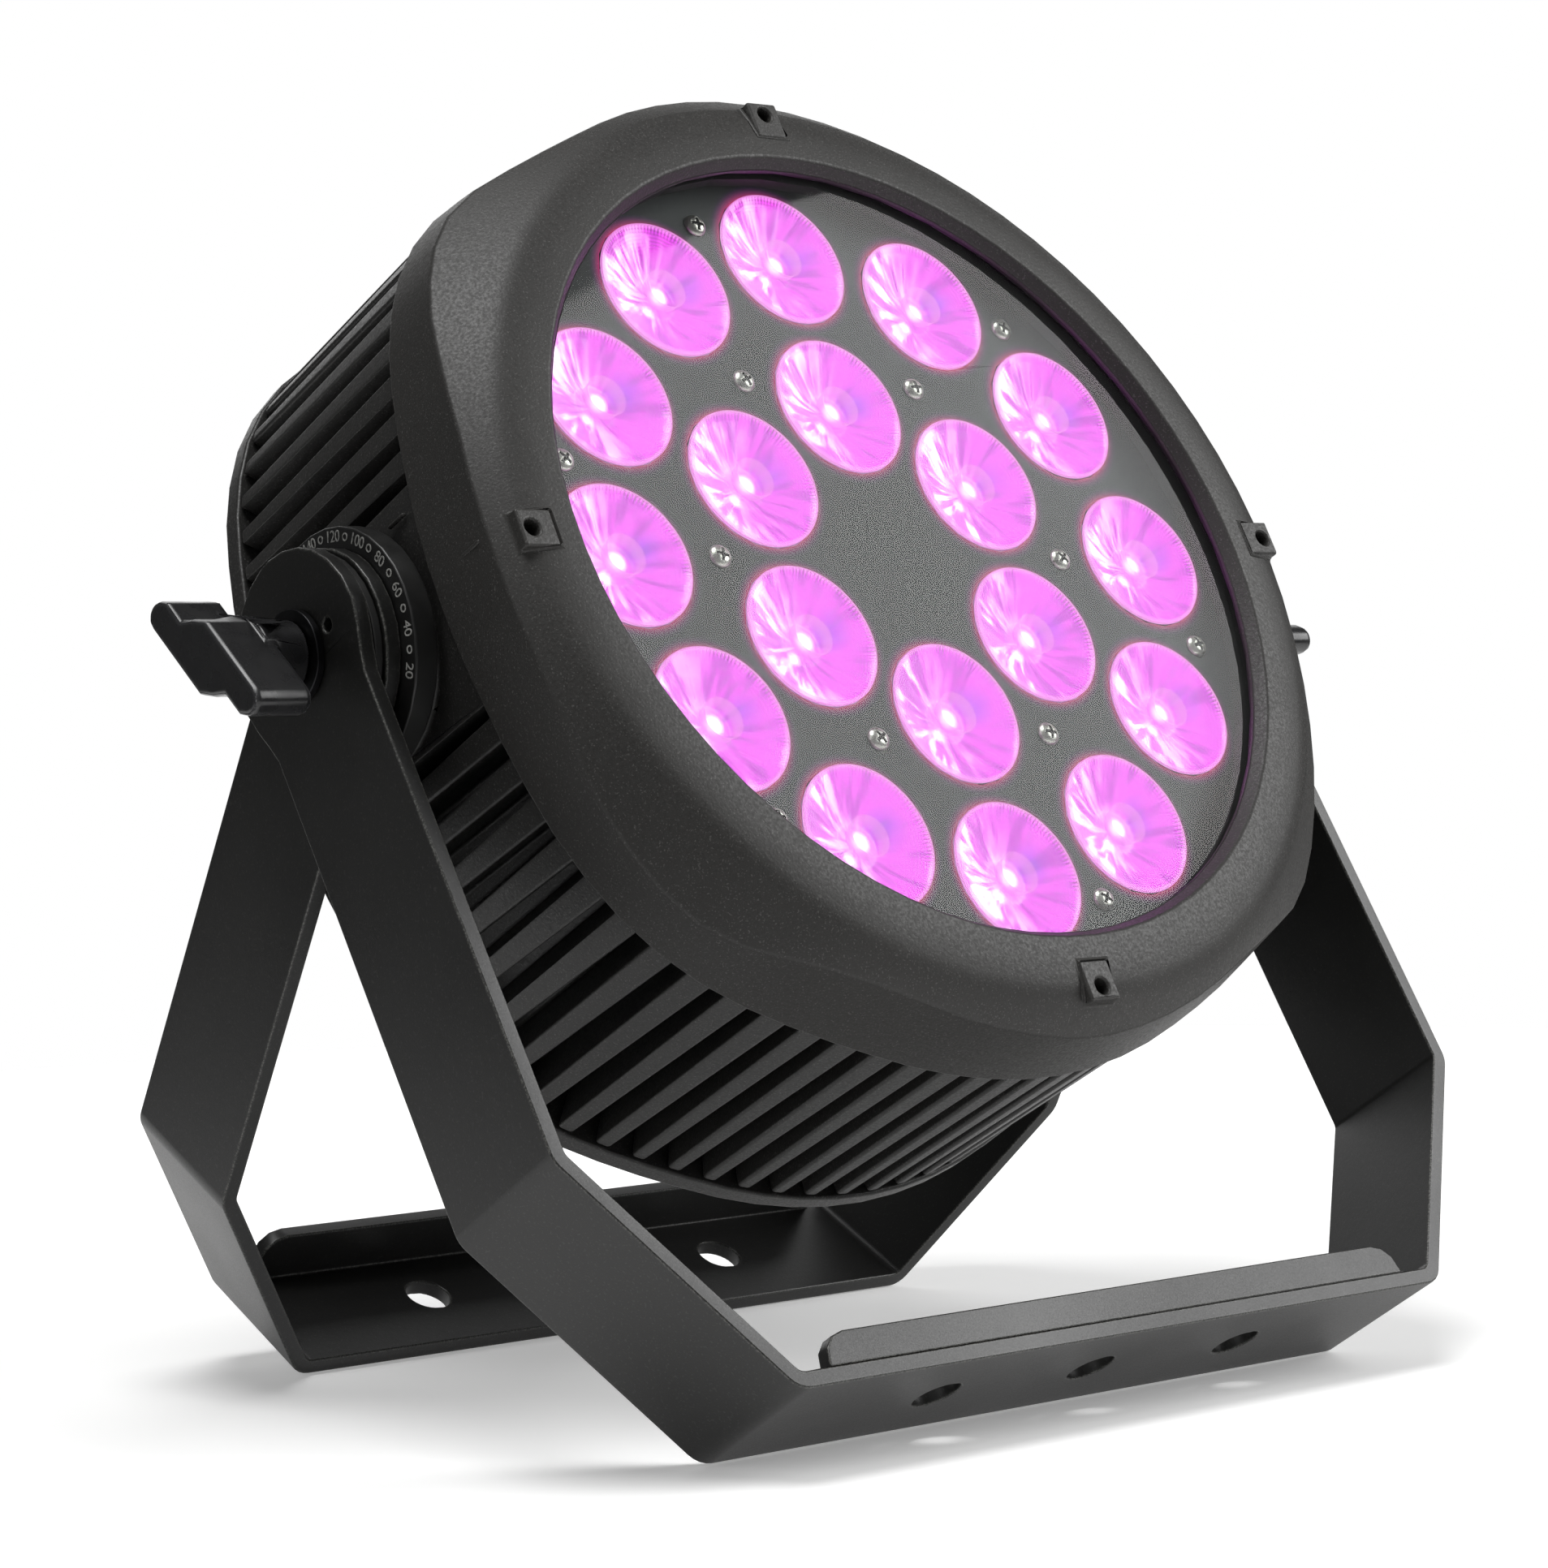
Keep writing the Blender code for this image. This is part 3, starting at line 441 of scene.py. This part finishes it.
def display_glass():
    """Dark smoked window: glossy, with a faint greenish panel behind it."""
    mat = new_material("smoked_display_window", "#101416", 0.08)
    smear = noise(mat, 9, 3.0)
    feed(mat, "Base Color", blend(mat, smear, "#0d1112", "#171d1f"))
    feed(mat, "Roughness", remap(mat, smear, 0.3, 0.7, 0.05, 0.16))
    return mat


def screw_recess():
    """Punched recess of a screw: painted shade, darker and duller than the screw head, mottled at random."""
    mat = new_material("shaded_punched_recess", "#26241f", 0.6, 0.6)
    mottle = noise(mat, 0.5, 3.0)
    # painted shade: the recess is coloured darker than the plated head around it
    feed(mat, "Base Color", blend(mat, mottle, "#1b1a17", "#3a3833"))
    feed(mat, "Roughness", remap(mat, mottle, 0.3, 0.7, 0.5, 0.7))
    return mat


def studio_floor():
    """Opal light table: almost white, softly lit from below, with the slightest cloud in the sheet."""
    mat = new_material("opal_light_table", "#f7f7f6", 0.9)
    cloud = noise(mat, 3.0, 4.0)
    feed(mat, "Base Color", blend(mat, cloud, "#f4f4f3", "#fafafa"))
    feed(mat, "Roughness", remap(mat, cloud, 0.3, 0.7, 0.85, 0.95))
    shader = mat.node_tree.nodes["Principled BSDF"]
    shader.inputs["Emission Color"].default_value = (1, 1, 1, 1)
    shader.inputs["Emission Strength"].default_value = 0.25
    return mat


# ---- mesh helpers ----------------------------------------------------------------------------------------
def new_piece(name, bm, mat, matrix=None, angle=35):
    """Object from a mesh in mm, smooth but for edges sharper than angle."""
    bmesh.ops.recalc_face_normals(bm, faces=bm.faces)
    bmesh.ops.scale(bm, vec=(MM, MM, MM), verts=bm.verts)
    mesh = bpy.data.meshes.new(name)
    bm.to_mesh(mesh)
    bm.free()
    mesh.shade_smooth()
    mesh.set_sharp_from_angle(angle=radians(angle))
    return place_piece(name, mesh, mat, matrix)


def place_piece(name, mesh, mat, matrix=None):
    obj = bpy.data.objects.new(name, mesh)
    bpy.context.collection.objects.link(obj)
    if not mesh.materials:
        mesh.materials.append(mat)
    if matrix:
        obj.matrix_world = matrix
    return obj


def lathe(profile, steps=96, wave=None):
    """Turned mesh round Z from (radius, height) points; wave(radius, angle) adds to a point's height."""
    bm = bmesh.new()
    rings = []
    for radius, height in profile:
        if radius == 0:
            rings.append([bm.verts.new((0, 0, height))] * steps)
            continue
        ring = []
        for k in range(steps):
            angle = 2 * pi * k / steps
            lift = wave(radius, angle) if wave else 0.0
            ring.append(bm.verts.new((radius * cos(angle), radius * sin(angle), height + lift)))
        rings.append(ring)
    for upper, lower in zip(rings, rings[1:]):
        for k in range(steps):
            after = (k + 1) % steps
            corners = []
            for vert in (upper[k], lower[k], lower[after], upper[after]):
                if vert not in corners:
                    corners.append(vert)
            if len(corners) > 2:
                bm.faces.new(corners)
    return bm


def box(low, high):
    bm = bmesh.new()
    low, high = Vector(low), Vector(high)
    place = Matrix.Translation((low + high) / 2) @ Matrix.Diagonal((*(high - low), 1))
    bmesh.ops.create_cube(bm, size=1.0, matrix=place)
    return bm


def soften(obj, width_mm, segments=3, angle=30):
    mod = obj.modifiers.new("softened_edges", "BEVEL")
    mod.width = width_mm * MM
    mod.segments = segments
    mod.limit_method = "ANGLE"
    mod.angle_limit = radians(angle)
    mod.use_clamp_overlap = False
    mod.harden_normals = False
    return obj


def minus(obj, cutter):
    """Cuts one mesh out of another and keeps only the result."""
    mod = obj.modifiers.new("cut", "BOOLEAN")
    mod.operation = "DIFFERENCE"
    mod.solver = "EXACT"
    mod.material_mode = "TRANSFER"
    mod.object = cutter
    shape = obj.evaluated_get(bpy.context.evaluated_depsgraph_get())
    mesh = bpy.data.meshes.new_from_object(shape)
    obj.modifiers.clear()
    obj.data = mesh
    bpy.data.objects.remove(cutter, do_unlink=True)
    return obj


def finish(obj, body, node=None):
    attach(obj, body)
    if node:
        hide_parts(node)
    return obj


def refined(node, mat, width_mm, segments=3, angle=30, rejoin=True):
    """The CAD node's own shape with its flats rejoined and its edges rounded."""
    bm = bmesh.new()
    bm.from_mesh(frame["nodes"][node].data)
    bmesh.ops.remove_doubles(bm, verts=bm.verts, dist=0.000002)
    if rejoin:
        bmesh.ops.dissolve_limit(bm, angle_limit=radians(0.6), verts=bm.verts, edges=bm.edges)
    mesh = bpy.data.meshes.new(f"{node}_fine")
    bm.to_mesh(mesh)
    bm.free()
    mesh.shade_smooth()
    obj = place_piece(f"{node}_fine", mesh, mat)
    soften(obj, width_mm, segments, angle)
    smooth = obj.modifiers.new("even_shading", "WEIGHTED_NORMAL")
    smooth.keep_sharp = True
    return finish(obj, body_of_node(node), node)


def repaint(node, mat):
    """A CAD node that stays as it is gets its finished material."""
    mesh = frame["nodes"][node].data
    mesh.materials.clear()
    mesh.materials.append(mat)


def in_head(x, y, z):
    return HEAD @ Matrix.Translation(Vector((x, y, z)) * MM)


# ---- sizes read from the frame ---------------------------------------------------------------------------
LENSES = [node for node in sorted(frame["nodes"]) if node.startswith("lens_") and node != "lens_plate"]
lens_low, lens_high = head_box(LENSES[0])
LENS_RADIUS = (lens_high.x - lens_low.x) / 2
LENS_FRONT = lens_high.z
PLATE_FRONT = head_box("lens_plate")[1].z
lens_centres = {node: sum(head_box(node), Vector()) / 2 for node in LENSES}
RING_RADII = sorted({round(hypot(c.x, c.y)) for c in lens_centres.values()})
INNER_RING, OUTER_RING = RING_RADII[0], RING_RADII[-1]
WELL_RADIUS = 5.2
INNER_SCREW_RING, OUTER_SCREW_RING, COVER_SCREW_RING = 56.8, 97.5, 104.0

satin_coat = satin_powder_coat()
sand_coat = sand_powder_coat("sand_powder_coat_on_cast_aluminium", "#272625", "#343331", 0.5)
rib_coat = sand_powder_coat("satin_powder_coat_on_cast_ribs", "#222221", "#2d2c2b", 0.42)
knob_black = knob_plastic()
disc_black = disc_plastic()
scale_ink = scale_print()
rubber = moulded_rubber()
nylon = socket_nylon()
zinc = turned_steel("zinc_plated_steel", "#8f9194", "#c3c5c8", 0.32)
stainless = turned_steel("stainless_screw_steel", "#a19e98", "#d0cdc6", 0.3)
recess = screw_recess()
black_oxide = turned_steel("black_oxide_steel", "#1c1c1d", "#343436", 0.38)
brass = turned_steel("gilded_contact_brass", "#9c7a34", "#d9b565", 0.3)
white_mask = circuit_board("white_solder_mask", "#c9c9c4", "#dededa")
green_mask = circuit_board("green_solder_mask", "#0e5a2a", "#157a3a")
slate = plate_paint(LENS_RADIUS, ((INNER_RING, 6), (OUTER_RING, 12)))
glass = clear_sheet("clear_tempered_glass", "#fbfdfc", 0.28)
acrylic = lit_acrylic(LENS_RADIUS, WELL_RADIUS)
optic = lit_optic(LENS_RADIUS)
window = display_glass()
light_table = studio_floor()

COVER_FACE = head_box("rear_cover")[0].z


# ---- castings and brackets ---------------------------------------------------------------------------------
def build_castings():
    refined("bezel", sand_coat, 0.7, 3, 28)
    refined("housing", rib_coat, 0.9, 3, 35)
    refined("rear_cover", rib_coat, 0.8, 3, 35)
    for k in range(8):
        angle = radians(22.5 + 45 * k)
        x, y = COVER_SCREW_RING * sin(angle), COVER_SCREW_RING * cos(angle)
        spot = in_head(x, y, COVER_FACE) @ Matrix.Rotation(pi, 4, "Y")
        screw = place_piece(f"cover_screw_{k + 1}", screw_mesh(1.15), stainless, spot)
        finish(screw, "head")


def build_brackets():
    for node in ("front_bracket", "rear_bracket"):
        refined(node, satin_coat, 0.45, 3, 40, rejoin=False)


# ---- screws ------------------------------------------------------------------------------------------------
screw_meshes = {}


def screw_mesh(size=1.0):
    """Pan-head screw with a cross recess, seated on z = 0; size multiplies a 6.2 mm head."""
    if size in screw_meshes:
        return screw_meshes[size]
    head = [(0, 1.75), (1.1, 1.72), (2.0, 1.5), (2.7, 1.05), (3.05, 0.5), (3.1, 0.15), (3.1, 0.0), (0, 0.0)]
    obj = new_piece("screw_head", lathe([(r * size, z * size) for r, z in head], 32), stainless)
    for long, wide in ((1.85, 0.42), (0.42, 1.85)):
        cutter = box((-long * size, -wide * size, 0.85 * size), (long * size, wide * size, 2.5 * size))
        obj = minus(obj, new_piece("screw_recess", cutter, recess))
    mesh = obj.data
    bpy.data.objects.remove(obj, do_unlink=True)
    screw_meshes[size] = mesh
    return mesh


# ---- light engine ------------------------------------------------------------------------------------------
def lens_flute(radius, angle):
    """Soft radial facets of the reflector, fading at its rim and at its middle."""
    share = max(0.0, min(1.0, (radius - 6) / 5)) * max(0.0, min(1.0, (17.3 - radius) / 3))
    return 0.22 * share * cos(20 * angle)


def build_lens_meshes():
    """Reflector bowl, clear front disc with its well, as two meshes that all the lenses share."""
    edge = LENS_RADIUS
    inner = edge - 0.45
    bowl = [
        (inner + 0.2, -0.4), (inner, -0.7), (16.2, -1.6), (14.0, -2.5), (11.8, -3.4), (9.6, -4.3),
        (7.6, -5.0), (6.0, -5.4), (4.2, -5.6), (2.0, -5.7), (0, -5.7),
    ]
    bowl_obj = new_piece("optic_master", lathe(bowl, 120, lens_flute), optic, angle=60)
    front = [
        (edge - 1.6, -1.2), (edge - 0.1, -1.2), (edge, -1.0), (edge, -0.3), (edge - 0.1, -0.1),
        (edge - 0.35, 0.0), (edge - 1.1, 0.0), (edge - 1.35, -0.12), (edge - 1.5, -0.3), (12.0, -0.18),
        (6.2, -0.14), (5.5, -0.14),
        (5.2, -0.3), (5.1, -0.7), (4.9, -3.2), (4.7, -3.6), (4.4, -3.75), (0, -3.8),
    ]
    front_obj = new_piece("lens_master", lathe(front, 96), acrylic, angle=40)
    meshes = bowl_obj.data, front_obj.data
    for obj in (bowl_obj, front_obj):
        bpy.data.objects.remove(obj, do_unlink=True)
    return meshes


def build_light_engine():
    bowl, front = build_lens_meshes()
    for node, centre in lens_centres.items():
        spot = in_head(centre.x, centre.y, LENS_FRONT)
        finish(place_piece(f"{node}_optic", bowl, optic, spot), "head")
        finish(place_piece(f"{node}_front", front, acrylic, spot), "head", node)
    plate = refined("lens_plate", slate, 0.2, 2, 50)
    plate_mesh_to_head(plate)
    inner_screws = [(INNER_SCREW_RING, 30 + 60 * k) for k in range(6)]
    outer_screws = [(OUTER_SCREW_RING, 45 + 60 * k) for k in range(6)]
    for k, (reach, angle) in enumerate(inner_screws + outer_screws):
        place = in_head(reach * sin(radians(angle)), reach * cos(radians(angle)), PLATE_FRONT)
        turn = Matrix.Rotation(0.7 * k, 4, "Z")
        screw = place_piece(f"plate_screw_{k + 1:02d}", screw_mesh(), stainless, place @ turn)
        finish(screw, "head")
    repaint("front_glass", glass)
    repaint("led_board", white_mask)
    repaint("driver_board", green_mask)
    repaint("power_supply", zinc)
    repaint("glass_gasket", rubber)
    repaint("glass_retainer", rubber)


def plate_mesh_to_head(plate):
    """Turns the plate's mesh into the head's frame, so that its paint can follow the lens rings."""
    plate.data.transform(HEAD.inverted())
    body = plate.parent
    plate.matrix_world = HEAD
    plate.parent = body


# ---- pivots and knobs --------------------------------------------------------------------------------------
def scale_matrix(side, angle, reach_mm, face_x):
    """Upright place on a disc's outer face at an angle up from the front, with the top outwards."""
    out = Vector((0, -cos(radians(angle)), sin(radians(angle))))
    normal = Vector((side, 0, 0))
    across = out.cross(normal)
    turn = Matrix((across, out, normal)).transposed().to_4x4()
    return Matrix.Translation(Vector((face_x, PIVOT.y, PIVOT.z)) + out * reach_mm * MM) @ turn


def scale_number(value):
    text = bpy.data.curves.new("scale_number", "FONT")
    text.body = str(value)
    text.size = 3.9 * MM
    text.space_character = 0.95
    text.extrude = 0.08 * MM
    text.align_x = "CENTER"
    text.align_y = "CENTER"
    text.resolution_u = 4
    return text


def build_scale(side, label):
    """Numbers every twenty degrees round the disc with a small ring between each pair."""
    low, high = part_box(f"scale_disc_{label}")
    face_x = low.x if side < 0 else high.x
    meshes = []
    for value in range(20, 160, 20):
        obj = bpy.data.objects.new("scale_number", scale_number(value))
        bpy.context.collection.objects.link(obj)
        bpy.context.view_layer.update()
        shape = obj.evaluated_get(bpy.context.evaluated_depsgraph_get())
        mesh = bpy.data.meshes.new_from_object(shape)
        mesh.transform(scale_matrix(side, value - 27, 27.5, face_x))
        meshes.append(mesh)
        bpy.data.objects.remove(obj, do_unlink=True)
        mark = lathe([(1.0, 0.0), (1.0, 0.1), (0.65, 0.1), (0.65, 0.0)], 20)
        bmesh.ops.scale(mark, vec=(MM, MM, MM), verts=mark.verts)
        ring = bpy.data.meshes.new("scale_ring")
        mark.to_mesh(ring)
        mark.free()
        ring.transform(scale_matrix(side, value - 17, 27.6, face_x))
        meshes.append(ring)
    bm = bmesh.new()
    for mesh in meshes:
        bm.from_mesh(mesh)
    joined = bpy.data.meshes.new(f"scale_marks_{label}")
    bm.to_mesh(joined)
    bm.free()
    joined.materials.clear()
    finish(place_piece(f"scale_marks_{label}", joined, scale_ink), "stand")


def build_pivots():
    for side, label in ((-1, "left"), (1, "right")):
        refined(f"scale_disc_{label}", disc_black, 0.6, 3)
        refined(f"friction_washer_{label}", rubber, 0.4, 3)
        refined(f"knob_washer_{label}", black_oxide, 0.35, 3)
        refined(f"knob_{label}", knob_black, 0.8, 4, 25)
        repaint(f"knob_stud_{label}", zinc)
        build_scale(side, label)


# ---- rear panel --------------------------------------------------------------------------------------------
def build_socket(node, pins):
    """Panel socket: turned body with a ribbed grip, open mouth, insert and gilded pins."""
    low, high = head_box(node)
    x, y = (low.x + high.x) / 2, (low.y + high.y) / 2
    length = high.z - low.z
    flange = (high.x - low.x) / 2
    body = flange - 3
    mouth = body - 2.2
    profile = [
        (0, 0), (flange - 0.4, 0), (flange, 0.4), (flange, 2.5), (flange - 0.5, 3.0), (body - 0.4, 3.2),
        (body - 0.4, 4.5), (body, 5.0), (body, length - 3.0), (body - 0.5, length - 2.4),
        (body - 0.5, length - 0.5), (body - 0.9, length), (mouth + 0.3, length), (mouth, length - 0.4),
        (mouth, length - 7.5), (0, length - 7.5),
    ]
    bm = lathe(profile, 96)
    for vert in bm.verts:
        reach = hypot(vert.co.x, vert.co.y)
        if abs(reach - body) < 0.01:
            angle = atan2(vert.co.y, vert.co.x)
            inward = 1 - 0.035 * (0.5 + 0.5 * cos(24 * angle))
            vert.co.x *= inward
            vert.co.y *= inward
    back = in_head(x, y, high.z) @ Matrix.Rotation(pi, 4, "Y")
    finish(new_piece(f"{node}_shell", bm, nylon, back, 40), "head", node)
    core = mouth - 1.1
    insert = [(0, length - 4.2), (core - 0.3, length - 4.2), (core, length - 4.6), (core, length - 8)]
    finish(new_piece(f"{node}_insert", lathe(insert, 48), nylon, back, 40), "head")
    for k in range(pins):
        angle = 2 * pi * k / pins + pi / 2
        reach = (mouth - 1.4) * 0.55
        pin = lathe([(0, length - 1.6), (0.5, length - 1.7), (0.8, length - 2.2), (0.8, length - 4.3)], 16)
        spot = back @ Matrix.Translation((reach * cos(angle) * MM, reach * sin(angle) * MM, 0))
        finish(new_piece(f"{node}_pin_{k + 1}", pin, brass, spot, 40), "head")


def build_rear_panel():
    for kind, pins in (("power", 3), ("data", 5)):
        build_socket(f"{kind}_in_socket", pins)
        build_socket(f"{kind}_out_socket", pins)
    for k in range(1, 5):
        refined(f"menu_button_{k}", rubber, 0.5, 3)
    refined("vent_plug", nylon, 0.5, 3)
    refined("safety_eye", zinc, 0.2, 2)
    refined("display_window", window, 0.4, 3)


# ---- small features of the head ----------------------------------------------------------------------------
def build_head_details():
    """A moulded ridge on each flank of the bezel and a raised index line by each scale disc."""
    low, high = head_box("bezel")
    flank = high.x - 1.05
    for side, label in ((-1, "left"), (1, "right")):
        ridge = box((-0.35, -0.5, 0), (0.6, 0.5, 19))
        spot = in_head(side * flank, 2.0, low.z) @ Matrix.Rotation(0 if side > 0 else pi, 4, "Z")
        piece = new_piece(f"bezel_ridge_{label}", ridge, sand_coat, spot)
        finish(soften(piece, 0.35, 3), "head")
        index = box((-0.6, -0.4, 0), (0.5, 0.4, 6.5))
        spot = in_head(side * (flank - 0.7), 22.0, 21.0) @ Matrix.Rotation(0 if side > 0 else pi, 4, "Z")
        piece = new_piece(f"tilt_index_{label}", index, sand_coat, spot)
        finish(soften(piece, 0.3, 3), "head")


# ---- floor, lights and camera ------------------------------------------------------------------------------
def build_floor():
    bm = bmesh.new()
    bmesh.ops.create_circle(bm, cap_ends=True, segments=96, radius=750)
    floor = new_piece("studio_floor", bm, light_table)
    floor.location = (0.2, 0.05, -0.0002)


def area_light(name, at, target, size, power):
    light = bpy.data.lights.new(name, "AREA")
    light.shape = "DISK"
    light.size = size
    light.energy = power
    obj = bpy.data.objects.new(name, light)
    bpy.context.collection.objects.link(obj)
    obj.location = at
    obj.rotation_euler = (Vector(target) - Vector(at)).to_track_quat("-Z", "Y").to_euler()


def build_lights():
    middle = (0, 0, 0.17)
    area_light("key", (1.5, -1.12, 1.22), middle, 1.4, 29)
    area_light("fill", (-1.6, -0.3, 1.1), middle, 1.0, 3)
    area_light("backdrop", (0.8, 1.2, 0.55), middle, 1.6, 9)
    area_light("top", (-0.4, -0.1, 1.8), middle, 1.0, 21)
    world = bpy.data.worlds.new("studio")
    world.use_nodes = True
    tree = world.node_tree
    background = tree.nodes["Background"]
    background.inputs["Color"].default_value = (1, 1, 1, 1)
    seen = tree.nodes.new("ShaderNodeLightPath")
    power = tree.nodes.new("ShaderNodeMapRange")
    power.inputs["To Min"].default_value = 0.1
    power.inputs["To Max"].default_value = 1.0
    tree.links.new(seen.outputs["Is Camera Ray"], power.inputs["Value"])
    tree.links.new(power.outputs["Result"], background.inputs["Strength"])
    bpy.context.scene.world = world
    bpy.context.scene.view_settings.view_transform = "Standard"


def build_camera():
    """Long lens at pivot height, in front of the lamp and to its left."""
    yaw, pitch, roll = radians(41.56), radians(-1.816), radians(-0.6216)
    data = bpy.data.cameras.new("camera")
    data.lens = 94.786
    data.sensor_width = 36.0
    camera = bpy.data.objects.new("camera", data)
    bpy.context.collection.objects.link(camera)
    forward = Vector((sin(yaw) * cos(pitch), cos(yaw) * cos(pitch), sin(pitch)))
    level = Vector((cos(yaw), -sin(yaw), 0))
    upright = level.cross(forward)
    right = level * cos(roll) + upright * sin(roll)
    up = upright * cos(roll) - level * sin(roll)
    turn = Matrix((right, up, -forward)).transposed().to_4x4()
    offset = Vector((-0.69159, -0.77608, -0.00026))
    camera.matrix_world = Matrix.Translation(PIVOT + offset) @ turn
    bpy.context.scene.camera = camera


build_camera()
build_castings()
build_brackets()
build_light_engine()
build_pivots()
build_rear_panel()
build_head_details()
build_floor()
build_lights()
